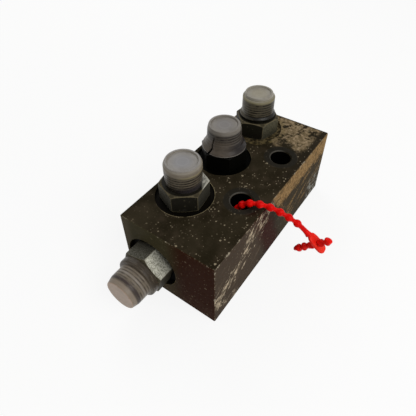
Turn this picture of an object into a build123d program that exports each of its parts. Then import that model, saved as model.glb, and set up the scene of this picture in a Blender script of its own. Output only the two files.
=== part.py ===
from build123d import *
import math
import os

# Hydraulic manifold block: a drilled steel block with three ports in a row on
# its top face and one in its end face.  Each port holds a straight male stud
# coupling with a captive seal and a push-on thread cap.  A beaded plastic tie
# hangs from one of the two mounting holes.
#
# Millimetres, +Z up.  The origin is the centre of the mounting face, which is
# the block's bottom.  +X runs along the block, away from the end port.

# ---------------------------------------------------------------- block
block_length = 117.5
block_width = 55.0
block_height = 43.5
edge_chamfer = 0.4

port_count = 3
port_pitch = 35.0
first_port_from_end = 28.5
port_row_from_side = 17.0
gallery_height = 19.0
gallery_dia = 9.0
gallery_past_last_port = 7.0
drill_point_angle = 118.0

port_thread_dia = 16.66
port_thread_depth = 15.0
port_mouth_chamfer = 0.5
spotface_margin = 2.3
spotface_depth = 1.2
end_spotface_depth = 2.5

hole_dia = 11.0
hole_chamfer = 0.7
hole_from_side = 12.5
hole_from_end = 41.0
hole_pitch = 40.5

# ---------------------------------------------------------------- stud coupling
thread_clearance = 0.1
stud_length = 12.0
stud_tip_chamfer = 1.0
hex_across_flats = 22.0
hex_height = 10.5
hex_chamfer_land = 0.3
hex_chamfer_angle = 22.0
seal_groove_width = 1.47
seal_groove_depth = 1.5
seal_clearance = 0.1

tube_thread_dia = 16.0
tube_thread_root_dia = 14.1
tube_end_length = 11.0
relief_length = 1.8
tube_end_chamfer = 0.9
cone_mouth_dia = 12.3
cone_angle = 24.0
tube_seat_dia = 10.1
tube_seat_depth = 7.0
flow_bore_dia = 8.0

# Turn of each hexagon about its own axis, as it was tightened: three top
# couplings in port order, then the end coupling.
top_hex_turns = [8.5, 46.5, 45.5]
end_hex_turn = 46.0

# ---------------------------------------------------------------- thread caps
cap_bore_clearance = 0.1
cap_wall = 1.05
cap_end_wall = 1.15
cap_rim_width = 1.15
cap_rim_height = 0.9

barrel_cap_swell = 0.25
barrel_cap_top_inset = 0.75

bell_flare = 2.65
bell_neck_height = 6.8
bell_end_wall = 1.4
split_azimuth = 175.0
split_width = 0.7
split_top_height = 10.6

short_cap_lift = 1.4
short_cap_disc_step = 1.25
short_cap_shoulder_height = 10.8
short_cap_foot_width = 1.05
short_cap_foot_height = 1.6

collar_cap_width = 2.05
collar_cap_height = 3.7
collar_cap_depth = 13.7
collar_cap_taper = 1.0
collar_cap_taper_length = 3.6

# ---------------------------------------------------------------- beaded tie
strand_dia = 3.2
tie_head_length = 11.9
tie_head_width = 5.8
tie_head_thickness = 1.8
tie_head_corner = 1.7
tie_head_offset = 0.4
tie_eye_dia = 3.5
tie_eye_reach = 6.6
tie_slot_width = 2.3
tie_slot_length = 3.4
tail_dia = 2.2
tail_bead_dia = 4.0
tail_bead_pitch = 4.3
tail_beads_above = 2
tail_beads_below = 3
tail_first_above = 2.2
tail_first_below = 4.1
tail_torn_end = 2.6
tail_direction = (0.01, 0.66, -0.75)

# Route of the strand's centre line, as offsets from the mouth of the first
# mounting hole on the top face.  It runs from the strand's cut end inside the
# hole, over the block's edge, to the head.
strand_route = [
    (-0.15, 2.4, -37.5),
    (0.15, 2.8, -28.5),
    (-0.25, 3.0, -18.5),
    (-1.05, 2.6, -10.5),
    (-1.85, 1.1, -4.1),
    (-2.05, -2.2, 0.9),
    (-1.65, -6.4, 3.5),
    (-0.45, -11.3, 4.4),
    (0.85, -16.2, 3.8),
    (2.15, -20.6, 2.0),
    (3.45, -24.6, -0.2),
    (4.75, -28.4, -2.9),
    (5.45, -31.8, -5.6),
    (5.75, -34.3, -7.85),
]

# ---------------------------------------------------------------- derived places
end_face_x = -block_length / 2
port_row_y = block_width / 2 - port_row_from_side
port_xs = [end_face_x + first_port_from_end + port_pitch * i for i in range(port_count)]
hole_y = -block_width / 2 + hole_from_side
hole_xs = [end_face_x + hole_from_end + hole_pitch * i for i in range(2)]
stud_dia = port_thread_dia - 2 * thread_clearance
hex_corner_radius = hex_across_flats / math.sqrt(3)
hex_chamfer_radius = hex_across_flats / 2 - hex_chamfer_land
spotface_radius = hex_corner_radius + spotface_margin
seal_groove_radius = stud_dia / 2 + seal_groove_width
coupling_length = hex_height + tube_end_length
cap_bore_radius = tube_thread_dia / 2 + cap_bore_clearance
cap_radius = cap_bore_radius + cap_wall
bell_skirt_radius = cap_radius + bell_flare
short_cap_disc_radius = cap_radius - short_cap_disc_step
short_cap_foot_radius = cap_radius + short_cap_foot_width
collar_cap_radius = cap_radius + collar_cap_width
seat_z = block_height - spotface_depth
top_seats = [
    Pos(x, port_row_y, seat_z) * Rot(0, 0, turn) for x, turn in zip(port_xs, top_hex_turns)
]
end_seat = Pos(end_face_x + end_spotface_depth, port_row_y, gallery_height) * Rot(0, -90, 0)
end_seat = end_seat * Rot(0, 0, end_hex_turn)
hole_mouth = Vector(hole_xs[0], hole_y, block_height)
strand_points = [hole_mouth + Vector(*offset) for offset in strand_route]


def turned(points, radii):
    """Solid of revolution about Z from a closed (radius, height) outline.

    radii holds the fillet of each corner, with 0 for a sharp one."""
    outline = FilletPolyline(*points, radius=radii, close=True)
    return revolve(Plane.XZ * make_face(outline), Axis.Z, 360)


def drilled(diameter, depth):
    """Drill's shape: a cylinder down from z = 0 with a pointed end below depth."""
    radius = diameter / 2
    point = radius / math.tan(math.radians(drill_point_angle / 2))
    profile = [(0, 0), (radius, 0), (radius, -depth), (0, -depth - point)]
    return turned(profile, [0, 0, 0, 0])


def port_cut(depth):
    """Spotface that deep, thread bore and mouth chamfer, cut down from z = 0."""
    bore = port_thread_dia / 2
    floor = -depth
    cut = Cylinder(spotface_radius, 2 * depth)
    cut += Pos(0, 0, floor) * drilled(port_thread_dia, port_thread_depth)
    mouth = [
        (0, floor),
        (bore + port_mouth_chamfer, floor),
        (bore, floor - port_mouth_chamfer),
        (0, floor - port_mouth_chamfer),
    ]
    return cut + turned(mouth, [0, 0, 0, 0])


def manifold_block():
    """Block with its ports, its main gallery, its cross drillings and its holes."""
    body = Box(block_length, block_width, block_height)
    body = Pos(0, 0, block_height / 2) * chamfer(body.edges(), edge_chamfer)
    row = Pos(0, port_row_y, 0)
    for x in port_xs:
        place = row * Pos(x, 0, block_height)
        body -= place * port_cut(spotface_depth)
        body -= place * drilled(gallery_dia, block_height - gallery_height)
    end_place = row * Pos(end_face_x, 0, gallery_height) * Rot(0, -90, 0)
    body -= end_place * port_cut(end_spotface_depth)
    gallery_length = port_xs[-1] - end_face_x + gallery_past_last_port
    body -= end_place * drilled(gallery_dia, gallery_length)
    radius = hole_dia / 2
    flare = hole_chamfer + radius
    through = [
        (0, 0),
        (flare, 0),
        (radius, hole_chamfer),
        (radius, block_height - hole_chamfer),
        (flare, block_height),
        (0, block_height),
    ]
    for x in hole_xs:
        body -= Pos(x, hole_y, 0) * turned(through, [0] * 6)
    return body


def hexagon():
    """Hexagon with both ends chamfered, standing on z = 0."""
    circle = hex_chamfer_radius
    reach = hex_corner_radius + 1.0
    drop = (reach - circle) * math.tan(math.radians(hex_chamfer_angle))
    prism = extrude(RegularPolygon(hex_corner_radius, 6), hex_height)
    envelope = [
        (0, 0),
        (circle, 0),
        (reach, drop),
        (reach, hex_height - drop),
        (circle, hex_height),
        (0, hex_height),
    ]
    return prism & turned(envelope, [0] * 6)


def stud_coupling():
    """Straight male stud coupling with its sealing face at z = 0."""
    stud = stud_dia / 2
    thread = tube_thread_dia / 2
    root = tube_thread_root_dia / 2
    outside = [
        (0, -stud_length),
        (stud - stud_tip_chamfer, -stud_length),
        (stud, stud_tip_chamfer - stud_length),
        (stud, hex_height / 2),
        (root, hex_height / 2),
        (root, hex_height + relief_length),
        (thread, hex_height + relief_length + thread - root),
        (thread, coupling_length - tube_end_chamfer),
        (thread - tube_end_chamfer, coupling_length),
        (0, coupling_length),
    ]
    body = hexagon() + turned(outside, [0] * 10)
    groove = Cylinder(seal_groove_radius, 2 * seal_groove_depth)
    groove -= Cylinder(stud, 2 * seal_groove_depth)
    body -= groove
    mouth = cone_mouth_dia / 2
    seat = tube_seat_dia / 2
    flow = flow_bore_dia / 2
    cone_depth = (mouth - seat) / math.tan(math.radians(cone_angle / 2))
    inside = [
        (0, -stud_length),
        (flow, -stud_length),
        (flow, coupling_length - tube_seat_depth),
        (seat, coupling_length - tube_seat_depth),
        (seat, coupling_length - cone_depth),
        (mouth, coupling_length),
        (0, coupling_length),
    ]
    return body - turned(inside, [0] * 7)


def captive_seal():
    """Elastomer ring that fills the coupling's groove, flush with its sealing face."""
    inner = stud_dia / 2 + seal_clearance
    outer = seal_groove_radius - seal_clearance
    lip = 0.2 * (outer - inner)
    outline = [(inner, 0), (outer, 0), (outer, seal_groove_depth), (inner, seal_groove_depth)]
    return turned(outline, [lip] * 4)


def barrel_cap():
    """Plain cap with a slightly swollen wall, a rim and a sunk end disc.

    Like each cap, it stands with z = 0 on the hexagon's outer face."""
    floor = tube_end_length + cap_end_wall
    top = floor + cap_rim_height
    swollen = cap_radius + barrel_cap_swell
    rim = swollen - barrel_cap_top_inset
    outline = [
        (cap_radius - 0.1, 0),
        (swollen, tube_end_length - 2.0),
        (swollen, tube_end_length + 0.2),
        (rim, top),
        (rim - cap_rim_width, top),
        (rim - cap_rim_width, floor),
        (0, floor),
        (0, tube_end_length),
        (cap_bore_radius, tube_end_length),
        (cap_bore_radius, 0),
    ]
    return turned(outline, [0, 6.0, 0.9, 0.4, 0.3, 0.4, 0, 0, 0, 0])


def bell_split():
    """Ragged tear through the bell cap's wall, from below its rim to its skirt."""
    half = split_width / 2
    right = [
        (0.2, split_top_height),
        (0.45 + half, 0.8 * split_top_height),
        (half, 0.62 * split_top_height),
        (half - 0.2, 0.45 * split_top_height),
        (half + 0.25, 0.26 * split_top_height),
        (half - 0.1, 0.18 * split_top_height),
        (-1.1, -1.0),
    ]
    left = [
        (-2.7, -1.0),
        (-0.75 - half, 0.15 * split_top_height),
        (-0.15 - half, 0.28 * split_top_height),
        (-half - 0.35, 0.44 * split_top_height),
        (-half, 0.63 * split_top_height),
        (0.35 - half, 0.81 * split_top_height),
    ]
    tear = Plane.YZ * make_face(Polyline(*right, *left, close=True))
    return Rot(0, 0, split_azimuth) * extrude(tear, 2 * bell_skirt_radius)


def bell_cap():
    """Cap whose skirt flares out over the hexagon, torn open down one side."""
    floor = tube_end_length + bell_end_wall
    top = floor + cap_rim_height
    rim = cap_radius - 0.9
    outline = [
        (bell_skirt_radius, 0),
        (bell_skirt_radius - 0.1, 0.8),
        (cap_radius, bell_neck_height),
        (cap_radius - 0.3, tube_end_length - 0.4),
        (rim, top),
        (rim - cap_rim_width, top),
        (rim - cap_rim_width, floor),
        (0, floor),
        (0, tube_end_length),
        (cap_bore_radius, tube_end_length),
        (cap_bore_radius, bell_neck_height - 0.4),
        (bell_skirt_radius - cap_wall, 0),
    ]
    shell = turned(outline, [0.2, 0.5, 5.0, 3.0, 0.4, 0.3, 0.4, 0, 0, 0, 3.0, 0])
    return shell - bell_split()


def short_cap():
    """Cap with a stepped, dished end disc and a thin foot, pushed on less far."""
    floor = tube_end_length + cap_end_wall
    top = floor + cap_rim_height
    disc = short_cap_disc_radius
    outline = [
        (short_cap_foot_radius, 0),
        (short_cap_foot_radius - 0.2, 0.6),
        (cap_radius, short_cap_foot_height),
        (cap_radius, short_cap_shoulder_height),
        (disc + 0.15, short_cap_shoulder_height + 0.7),
        (disc, top),
        (disc - cap_rim_width, top),
        (disc - cap_rim_width, floor),
        (0, floor - 0.3),
        (0, tube_end_length - 0.3),
        (cap_bore_radius - 1.0, tube_end_length - 0.3),
        (cap_bore_radius, tube_end_length - 1.3),
        (cap_bore_radius, 0),
    ]
    return turned(outline, [0.2, 0, 0.6, 0.4, 0.3, 0.4, 0.3, 0.5, 0, 0, 0, 0, 0])


def collar_cap():
    """Cap with a thick round collar at its mouth and a plain, tapered end."""
    end = collar_cap_depth + cap_end_wall
    outline = [
        (collar_cap_radius, 0),
        (collar_cap_radius, collar_cap_height),
        (cap_radius + 0.15, collar_cap_height + 0.3),
        (cap_radius, end - collar_cap_taper_length),
        (cap_radius - collar_cap_taper, end),
        (0, end),
        (0, collar_cap_depth),
        (cap_bore_radius - 0.6, collar_cap_depth),
        (cap_bore_radius, collar_cap_depth - 2.0),
        (cap_bore_radius, 0),
    ]
    return turned(outline, [0.4, 1.2, 0.5, 2.0, 0.5, 0, 0, 0, 0, 0])


def corner_radii(points):
    """Radius at each corner of a route: 0.45 of its shorter run over tan(half turn)."""
    radii = []
    for before, corner, after in zip(points, points[1:], points[2:]):
        run_in = corner - before
        run_out = after - corner
        half_turn = math.radians(run_in.get_angle(run_out) / 2)
        radii.append(0.45 * min(run_in.length, run_out.length) / math.tan(half_turn))
    return radii


def tie_strand():
    """Plain tube along the strand's route."""
    radii = corner_radii(strand_points)
    path = FilletPolyline(*strand_points, radius=radii)
    start = Plane(origin=path @ 0, z_dir=path % 0)
    tube = sweep(start * Circle(strand_dia / 2), path=path)
    ideal = math.pi * strand_dia**2 / 4 * path.length
    print("strand radii", [round(radius, 1) for radius in radii])
    print("strand length", round(path.length, 1), "volume ratio", round(tube.volume / ideal, 5))
    return tube


def tie_head_frame():
    """Plane of the head's plate: x on from the strand's end, z facing up the tail."""
    along = (strand_points[-1] - strand_points[-2]).normalized()
    up = Vector(*tail_direction) * -1
    up = (up - along * up.dot(along)).normalized()
    return Plane(origin=strand_points[-1], x_dir=along, z_dir=up)


def tail_frame():
    """Plane in the middle of the eye whose z runs straight up the tail."""
    eye = tie_head_frame().from_local_coords(Vector(tie_eye_reach, tie_head_offset, 0))
    return Plane(origin=eye, z_dir=Vector(*tail_direction) * -1)


def tie_head():
    """Flat plate on the strand's end, with a keyhole whose eye holds the tail."""
    outline = RectangleRounded(tie_head_length, tie_head_width, tie_head_corner)
    plate = Pos(tie_head_length / 2, tie_head_offset) * outline
    plate = extrude(plate, tie_head_thickness / 2, both=True)
    plate = chamfer(plate.edges().group_by(Axis.Z)[0] + plate.edges().group_by(Axis.Z)[-1], 0.3)
    slot = Pos(tie_eye_reach - tie_slot_length / 2, tie_head_offset)
    slot = slot * Box(tie_slot_length, tie_slot_width, 2 * tie_head_thickness)
    slot_end = Pos(tie_eye_reach - tie_slot_length, tie_head_offset)
    slot += slot_end * Cylinder(tie_slot_width / 2, 2 * tie_head_thickness)
    eye = Cylinder(tie_eye_dia / 2, 4 * tie_head_thickness)
    return tie_head_frame() * (plate - slot) - tail_frame() * eye


def tie_tail():
    """Beaded tail through the eye, torn off at its lower end."""
    above = [tail_first_above + tail_bead_pitch * i for i in range(tail_beads_above)]
    below = [-tail_first_below - tail_bead_pitch * i for i in range(tail_beads_below)]
    low_end = below[-1] - tail_torn_end
    tail = Pos(0, 0, low_end) * Cylinder(
        tail_dia / 2, above[-1] - low_end, align=(Align.CENTER, Align.CENTER, Align.MIN)
    )
    for height in above + below:
        tail += Pos(0, 0, height) * Sphere(tail_bead_dia / 2)
    return tail_frame() * tail


os.makedirs("parts", exist_ok=True)

caps = [barrel_cap(), bell_cap(), Pos(0, 0, short_cap_lift) * short_cap()]
names = ["near", "middle", "far"]
parts = {"block": manifold_block()}
for name, seat, cap in zip(names, top_seats, caps):
    unturned = Pos(*seat.position)
    parts["coupling_" + name] = seat * stud_coupling()
    parts["seal_" + name] = unturned * captive_seal()
    parts["cap_" + name] = unturned * Pos(0, 0, hex_height) * cap
parts["coupling_end"] = end_seat * stud_coupling()
parts["seal_end"] = end_seat * captive_seal()
parts["cap_end"] = end_seat * Pos(0, 0, hex_height) * collar_cap()
parts["tie_strand"] = tie_strand()
parts["tie_head"] = tie_head()
parts["tie_tail"] = tie_tail()

for name, shape in parts.items():
    export_step(shape, "parts/" + name + ".step")
    print(name, round(shape.volume, 1))
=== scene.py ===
import math

import bmesh
import bpy
from mathutils import Euler, Matrix, Vector, noise


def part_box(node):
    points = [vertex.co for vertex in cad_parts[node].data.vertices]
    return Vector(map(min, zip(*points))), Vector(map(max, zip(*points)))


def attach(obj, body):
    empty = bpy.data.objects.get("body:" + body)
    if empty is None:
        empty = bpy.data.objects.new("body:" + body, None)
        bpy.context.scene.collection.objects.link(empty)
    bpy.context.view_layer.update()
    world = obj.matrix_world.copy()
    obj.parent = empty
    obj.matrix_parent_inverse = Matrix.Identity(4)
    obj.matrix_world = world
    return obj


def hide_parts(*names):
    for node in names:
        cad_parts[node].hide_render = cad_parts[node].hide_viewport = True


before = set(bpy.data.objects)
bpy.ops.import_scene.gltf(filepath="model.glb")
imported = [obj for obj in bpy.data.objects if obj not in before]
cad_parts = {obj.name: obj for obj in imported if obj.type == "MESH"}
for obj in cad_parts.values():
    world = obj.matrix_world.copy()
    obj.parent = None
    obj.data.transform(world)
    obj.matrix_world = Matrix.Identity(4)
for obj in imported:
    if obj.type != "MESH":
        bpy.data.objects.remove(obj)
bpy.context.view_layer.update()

# Hydraulic manifold block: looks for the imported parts.  Metres, in the parts'
# own frame: the origin is the centre of the mounting face, +Z is up and +X
# runs along the block, away from the end port.  The right side is the one
# towards -Y and the front is towards -X, as the camera sees them.

MM = 0.001

# --- block sizes
BLOCK_LOW, BLOCK_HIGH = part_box("block")
TOP = BLOCK_HIGH.z
END_FACE = BLOCK_LOW.x
RIGHT_FACE = BLOCK_LOW.y
FAR_FACE = BLOCK_HIGH.x
FACE_STARTS = 0.5 * MM
FACE_FULL = 0.1 * MM
SPOTFACE_RADIUS = 15.0 * MM
SPOTFACE_PAINT_DEPTH = 15 * MM
HOLE_RADIUS = 5.5 * MM
HOLE_FLARE = 6.2 * MM
WASHER_RADIUS = 9.15 * MM
HOLE_FROM_SIDE = 12.5 * MM
HOLE_FROM_END = 41.0 * MM
HOLE_PITCH = 40.5 * MM
HOLE_Y = RIGHT_FACE + HOLE_FROM_SIDE
HOLE_XS = [END_FACE + HOLE_FROM_END + HOLE_PITCH * i for i in range(2)]

# --- coupling sizes
# The tube end's length is from the hexagon, and its cone's and seat's from its mouth.
HEX_FLATS = 22.0 * MM
HEX_HEIGHT = 10.5 * MM
HEX_CHAMFER_RADIUS = 10.7 * MM
HEX_CHAMFER_SLOPE = math.tan(math.radians(22))
HEX_CORNER_CUT = 0.12 * MM
HEX_SIDE = math.radians(60)
HEX_HALF_SIDE = math.radians(30)
HEX_SHARES = (0.0, 0.012, 0.03, 0.08, 0.18, 0.34, 0.5, 0.66, 0.82, 0.92, 0.97, 0.988)
HEX_ANGLES = [math.radians(60) * (sector + share) for sector in range(6) for share in HEX_SHARES]
CORNER_WEAR = math.radians(3)
STUD_RADIUS = 8.23 * MM
STUD_LENGTH = 12.0 * MM
STUD_CHAMFER = 1.0 * MM
GROOVE_RADIUS = 9.7 * MM
GROOVE_DEPTH = 1.5 * MM
THREAD_RADIUS = 8.0 * MM
THREAD_ROOT = 7.05 * MM
THREAD_PITCH = 1.5 * MM
THREAD_FADE = 1.2 * MM
THREAD_ROWS = 84
TUBE_END = 11.0 * MM
RELIEF = 1.8 * MM
END_CHAMFER = 0.9 * MM
CONE_MOUTH = 6.15 * MM
CONE_SEAT = 5.05 * MM
CONE_DEPTH = 5.2 * MM
SEAT_DEPTH = 7.0 * MM
FLOW_RADIUS = 4.0 * MM

# --- cap sizes
BORE = 8.1  # in millimetres, for the outlines
CAP_BORE = BORE * MM
CAP_COLUMNS = 128
CAP_WOBBLE = 0.06 * MM
PROFILE_STEP = 0.35 * MM
ROUNDING_STEPS = 6
SPLIT_AZIMUTH = 175.0
SPLIT_FROM_AXIS = (1 * MM, 30 * MM)
# Outline of the split in millimetres, across it and up the cap.
SPLIT_OUTLINE = [
    (0.2, 10.6), (0.8, 8.5), (0.35, 6.6), (0.15, 4.8), (0.6, 2.8), (0.25, 1.9), (-1.1, -1.0),
    (-2.6, -1.0), (-1.1, 1.6), (-0.5, 3.0), (-0.7, 4.7), (-0.35, 6.7), (0.0, 8.6),
]

SMOOTH_BELOW = math.radians(21)
SAME_POINT = 0.002 * MM

NAMES = ("near", "middle", "far", "end")
# Degrees that each coupling and its cap are turned by, about their own axis.
TURNS = {"near": 8.5, "middle": 46.5, "far": 45.5, "end": 46.0}


def seat(name):
    """Frame of a coupling's sealing face, turned as its hexagon is."""
    low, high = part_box("seal_" + name)
    centre = (low + high) / 2
    if name == "end":
        place = Matrix.Translation((high.x, centre.y, centre.z))
        lean = Matrix.Rotation(math.radians(-90), 4, "Y")
    else:
        place = Matrix.Translation((centre.x, centre.y, low.z))
        lean = Matrix.Identity(4)
    return place @ lean @ Matrix.Rotation(math.radians(TURNS[name]), 4, "Z")


# --- painting
# Colours by name, as sRGB codes.
TONES = {
    "phosphate_dark": "201b10", "phosphate_light": "2f291d", "phosphate_patch": "3a3126",
    "phosphate_fleck": "4a4132", "bare_steel": "a59a86", "olive": "3f3a27", "end_red": "2c1006",
    "low_brown": "4b382b", "left_edge": "5a5244", "side_brown": "44382d",
    "side_streak": "655645", "side_stain": "2f0d04", "side_oil": "332a1b", "scratch": "c2b196",
    "chalk": "98978f", "side_tan_dark": "6f5538", "side_tan_light": "a3865c",
    "strand_shade": "1e0906", "top_tan_dark": "665840", "top_tan_light": "9a866a",
    "corner_oil": "231e16", "dust": "a3957b", "washer_print": "23211c",
    "washer_outline": "6d6456", "hole_chamfer": "5f5d58", "hole_painted_shade": "020202",
    "port_oil_and_shade": "0b0906", "port_black_shade": "020201", "port_mud_dark": "1b170d",
    "port_mud_light": "5d5138", "far_mud": "6f6140", "port_rim": "8f8263",
    "zinc_edge": "7b7055", "zinc_highlight_dark": "8f8c80", "zinc_highlight_light": "c9c6ba",
    "zinc_shelf": "9a8f75", "zinc_speck": "8d8266", "cap_halo": "b5b2ac", "cap_fleck": "37322a",
    "rubber_dark": "0b0b0b", "rubber_light": "1c1b1a",
}


def rgb(code):
    """Linear colour from a six-digit sRGB code."""
    parts = [int(code[i : i + 2], 16) / 255 for i in (0, 2, 4)]
    linear = [c / 12.92 if c <= 0.04045 else ((c + 0.055) / 1.055) ** 2.4 for c in parts]
    return (*linear, 1.0)


def fill(node, **values):
    """Set a node's own inputs by name, with _ for a space."""
    for name, value in values.items():
        node.inputs[name.replace("_", " ")].default_value = value


class Nodes:
    """Adds nodes to a shader tree."""

    def __init__(self, tree):
        self.tree = tree

    def add(self, kind, *inputs, **settings):
        """New shader node; an input of None keeps its default."""
        node = self.tree.nodes.new("ShaderNode" + kind)
        for key, value in settings.items():
            setattr(node, key, value)
        for socket, value in zip(node.inputs, inputs):
            self.put(socket, value)
        return node

    def put(self, socket, value):
        if isinstance(value, bpy.types.NodeSocket):
            self.tree.links.new(value, socket)
        elif isinstance(value, str):
            socket.default_value = rgb(TONES.get(value, value))
        elif value is not None:
            socket.default_value = value

    def calc(self, operation, *values):
        return self.add("Math", *values, operation=operation).outputs[0]

    def chain(self, operation, values):
        result = values[0]
        for value in values[1:]:
            result = self.calc(operation, result, value)
        return result

    def total(self, *values):
        return self.chain("ADD", values)

    def times(self, *values):
        return self.chain("MULTIPLY", values)

    def highest(self, *values):
        return self.chain("MAXIMUM", values)


class Paint(Nodes):
    """A material's nodes.  Places are metres in the piece's own axes; sizes of noise,
    specks and relief are millimetres.

    colour is what is painted so far, and cover() lays the next one over it.  A colour is
    a node's output, a name in TONES or an sRGB code."""

    def __init__(self, name):
        self.material = bpy.data.materials.new(name)
        self.material.use_nodes = True
        super().__init__(self.material.node_tree)
        self.shader = self.tree.nodes["Principled BSDF"]
        self.point = self.add("TexCoord").outputs["Object"]
        self.x, self.y, self.z = self.add("SeparateXYZ", self.point).outputs
        self.colour = None

    def minus(self, value, less):
        return self.calc("SUBTRACT", value, less)

    def centred(self, value, size):
        """A noise's value about 0, times size."""
        return self.times(self.minus(value, 0.5), size)

    def lifted(self, low, value):
        """A value from 0 to 1 brought to run from low to 1."""
        return self.total(low, self.times(value, 1 - low))

    def step(self, value, low, high):
        """0 below low, 1 above high, smooth between; low may be the larger."""
        return self.add(
            "MapRange", value, low, high, 0.0, 1.0, interpolation_type="SMOOTHSTEP"
        ).outputs[0]

    def rise(self, value, low, high):
        """step() between low and high millimetres."""
        return self.step(value, low * MM, high * MM)

    def band(self, value, low, high, soft):
        """1 between low and high, with edges that reach soft to each side of them."""
        rise = self.step(value, low - soft, low + soft)
        fall = self.step(value, high + soft, high - soft)
        return self.times(rise, fall)

    def scaled(self, scale):
        return self.add("Mapping", self.point, None, None, scale).outputs[0]

    def slanted(self, lean, stretch):
        """Coordinates drawn out by stretch along +X turned by lean degrees about Y."""
        turn = (0, math.radians(lean), 0)
        return self.add(
            "Mapping", self.point, None, turn, (stretch, 1, 1), vector_type="TEXTURE"
        ).outputs[0]

    def facing(self, which):
        """Part of the surface's direction along the piece's x, y or z."""
        direction = self.add("TexCoord").outputs["Normal"]
        return self.add("SeparateXYZ", direction).outputs[which]

    def along(self, azimuth, x, y):
        """How far (x, y) goes towards an azimuth in degrees."""
        ahead = math.radians(azimuth)
        return self.total(self.times(x, math.cos(ahead)), self.times(y, math.sin(ahead)))

    def turned_to(self, azimuth, low, high):
        """1 where the surface faces that azimuth round the piece's z axis."""
        return self.step(self.along(azimuth, self.facing(0), self.facing(1)), low, high)

    def reach(self, azimuth):
        """Distance from the piece's z axis towards that azimuth."""
        return self.along(azimuth, self.x, self.y)

    def radius_between(self, a, a_centre, b, b_centre):
        a, b = self.minus(a, a_centre), self.minus(b, b_centre)
        return self.calc("SQRT", self.total(self.times(a, a), self.times(b, b)))

    def radius_about(self, x, y):
        """Distance from the upright line through (x, y)."""
        return self.radius_between(self.x, x, self.y, y)

    def noise(self, size, detail, rough, point=None, bend=0.0):
        """Noise from 0 to 1 with patches about size millimetres across."""
        node = self.add("TexNoise", point or self.point, normalize=True)
        fill(node, Scale=1 / (size * MM), Detail=detail, Roughness=rough, Distortion=bend)
        return node.outputs["Fac"]

    def ragged(self, size):
        """Coordinates shaken by up to about size metres, to break up smooth outlines."""
        node = self.add("TexNoise", self.point, normalize=True)
        fill(node, Scale=1 / size, Detail=2.0)
        middle = (0.5, 0.5, 0.5)
        centred = self.add("VectorMath", node.outputs["Color"], middle, operation="SUBTRACT")
        shake = self.add("VectorMath", centred.outputs[0], operation="SCALE")
        fill(shake, Scale=1.6 * size)
        moved = self.add("VectorMath", self.point, shake.outputs[0], operation="ADD")
        return moved.outputs[0]

    def specks(self, pitch, size, share):
        """Round specks of up to size, in that share of the pitch-wide cells."""
        pitch, size = pitch * MM, size * MM
        node = self.add("TexVoronoi", self.ragged(size * 0.9))
        fill(node, Scale=1 / pitch)
        cell = self.add("SeparateColor", node.outputs["Color"])
        chosen = self.calc("LESS_THAN", cell.outputs[0], share)
        reach = self.times(cell.outputs[1], size / pitch)
        inside = self.minus(reach, node.outputs["Distance"])
        soft = 0.25 * size / pitch
        return self.times(chosen, self.step(inside, 0.0, soft))

    def mix(self, amount, first, second):
        """Colour between first and second; a Mix node has these at 6 and 7, and out at 2."""
        node = self.add("Mix", amount, data_type="RGBA")
        self.put(node.inputs[6], first)
        self.put(node.inputs[7], second)
        return node.outputs[2]

    def blend(self, amount, first, second):
        """Number between first and second; a Mix node has these at 2 and 3, and out at 0."""
        return self.add("Mix", amount, None, first, second).outputs[0]

    def cover(self, tint, *shares):
        """Lay tint over the colour so far, as much as the shares multiply to."""
        self.colour = self.mix(self.times(*shares), self.colour, tint)

    def bump(self, height, distance, strength):
        """Relief of up to distance millimetres."""
        node = self.add("Bump")
        fill(node, Strength=strength, Distance=distance * MM)
        self.put(node.inputs["Height"], height)
        self.put(self.shader.inputs["Normal"], node.outputs[0])

    def finish(self, roughness, metallic=None):
        self.put(self.shader.inputs["Base Color"], self.colour)
        self.put(self.shader.inputs["Roughness"], roughness)
        self.put(self.shader.inputs["Metallic"], metallic)
        return self.material


# --- materials
class BlockPaint(Paint):
    """The block's paint, with the faces and noises that its zones share."""

    def __init__(self):
        super().__init__("block_steel")
        self.on_top = self.step(self.z, TOP - FACE_STARTS, TOP - FACE_FULL)
        self.on_right = self.step(self.y, RIGHT_FACE + FACE_STARTS, RIGHT_FACE + FACE_FULL)
        self.on_end = self.step(self.x, END_FACE + FACE_STARTS, END_FACE + FACE_FULL)
        self.broad = self.noise(24, 3, 0.6)
        self.patch = self.noise(6, 4, 0.6)
        self.grain = self.noise(2.4, 5, 0.7)
        self.fine = self.noise(0.8, 4, 0.7)
        self.streak = self.noise(2.6, 7, 0.72, self.slanted(-36, 3.2), 0.6)
        self.long_streak = self.noise(3.6, 5, 0.68, self.slanted(-31, 4.5), 0.4)

    def from_edge(self):
        """Distance from the block's nearest edge."""
        from_ends = self.minus(FAR_FACE, self.calc("ABSOLUTE", self.x))
        from_sides = self.minus(BLOCK_HIGH.y, self.calc("ABSOLUTE", self.y))
        from_faces = self.calc("MINIMUM", self.minus(TOP, self.z), self.z)
        smaller = self.calc("MINIMUM", from_ends, from_sides)
        larger = self.highest(from_ends, from_sides)
        return self.highest(smaller, self.calc("MINIMUM", larger, from_faces))


def phosphate(p):
    """Mottled dark steel all over."""
    p.colour = p.mix(p.step(p.broad, 0.35, 0.65), "phosphate_dark", "phosphate_light")
    p.cover("phosphate_patch", p.step(p.patch, 0.45, 0.75), 0.6)
    p.cover("phosphate_fleck", p.step(p.fine, 0.5, 0.85), 0.45)


def near_end(p):
    """Olive round the port, then red-brown towards the front corner."""
    p.cover("olive", p.on_end, 0.7)
    p.cover("end_red", p.on_end, p.rise(p.y, 2, -10), p.step(p.patch, 0.15, 0.4), 0.9)
    p.cover("low_brown", p.on_end, p.rise(p.z, 14, 2), p.step(p.grain, 0.35, 0.65), 0.45)
    p.cover("left_edge", p.on_end, p.rise(p.y, 20, 25), 0.5)


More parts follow.
